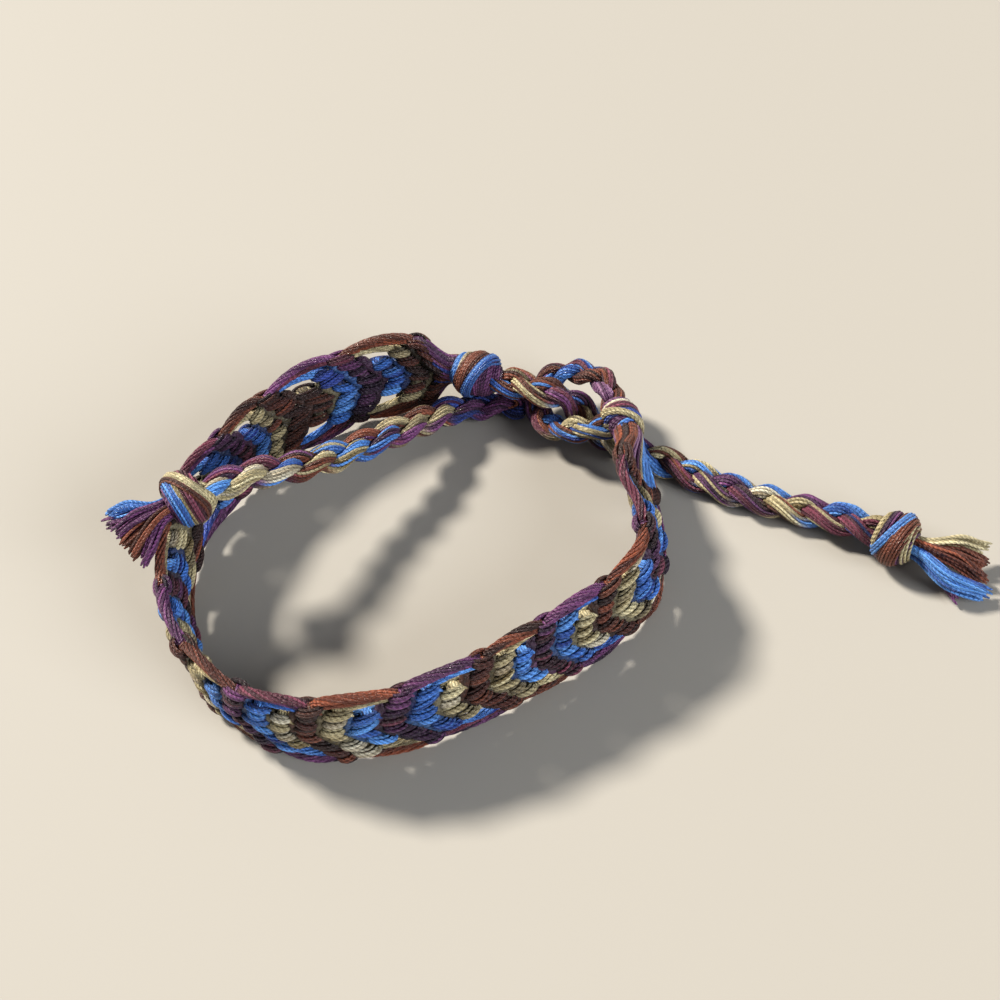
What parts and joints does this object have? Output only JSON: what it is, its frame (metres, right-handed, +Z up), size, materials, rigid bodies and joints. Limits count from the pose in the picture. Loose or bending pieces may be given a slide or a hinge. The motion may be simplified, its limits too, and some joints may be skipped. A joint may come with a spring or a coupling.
{
  "type": "friendship bracelet",
  "caption": "Knotted bracelet of variegated cotton floss with openwork scalloped edges, closed by a braided, knotted and tasselled tie threaded through its braided end loop.",
  "frame": {"origin": "on the table at the middle of the opening for the wrist", "axes": "+Z up, across the band that stands on its edge; +X along the longest side, toward the long tie; +Y toward the closure"},
  "size_m": [0.09, 0.0481, 0.017],
  "materials": {
    "band_floss": "matt stranded cotton, knotted, in blue, plum, rust and straw",
    "knot_floss": "matt stranded cotton, wound and drawn tight",
    "loop_floss": "matt stranded cotton, braided",
    "tie_floss": "matt stranded cotton, braided",
    "fringe_floss": "cut ends of stranded cotton"
  },
  "bodies": {
    "root": {"band": "band_floss", "start_knot": "knot_floss", "end_knot": "knot_floss", "right_tail_knot": "knot_floss", "left_tail_knot": "knot_floss", "loop_strand_1": "loop_floss", "loop_strand_2": "loop_floss", "loop_strand_3": "loop_floss", "right_tie_strand_1": "tie_floss", "right_tie_strand_2": "tie_floss", "right_tie_strand_3": "tie_floss", "left_tie_strand_1": "tie_floss", "left_tie_strand_2": "tie_floss", "left_tie_strand_3": "tie_floss", "right_tassel": "fringe_floss", "left_tassel": "fringe_floss"}
  },
  "joints": []
}
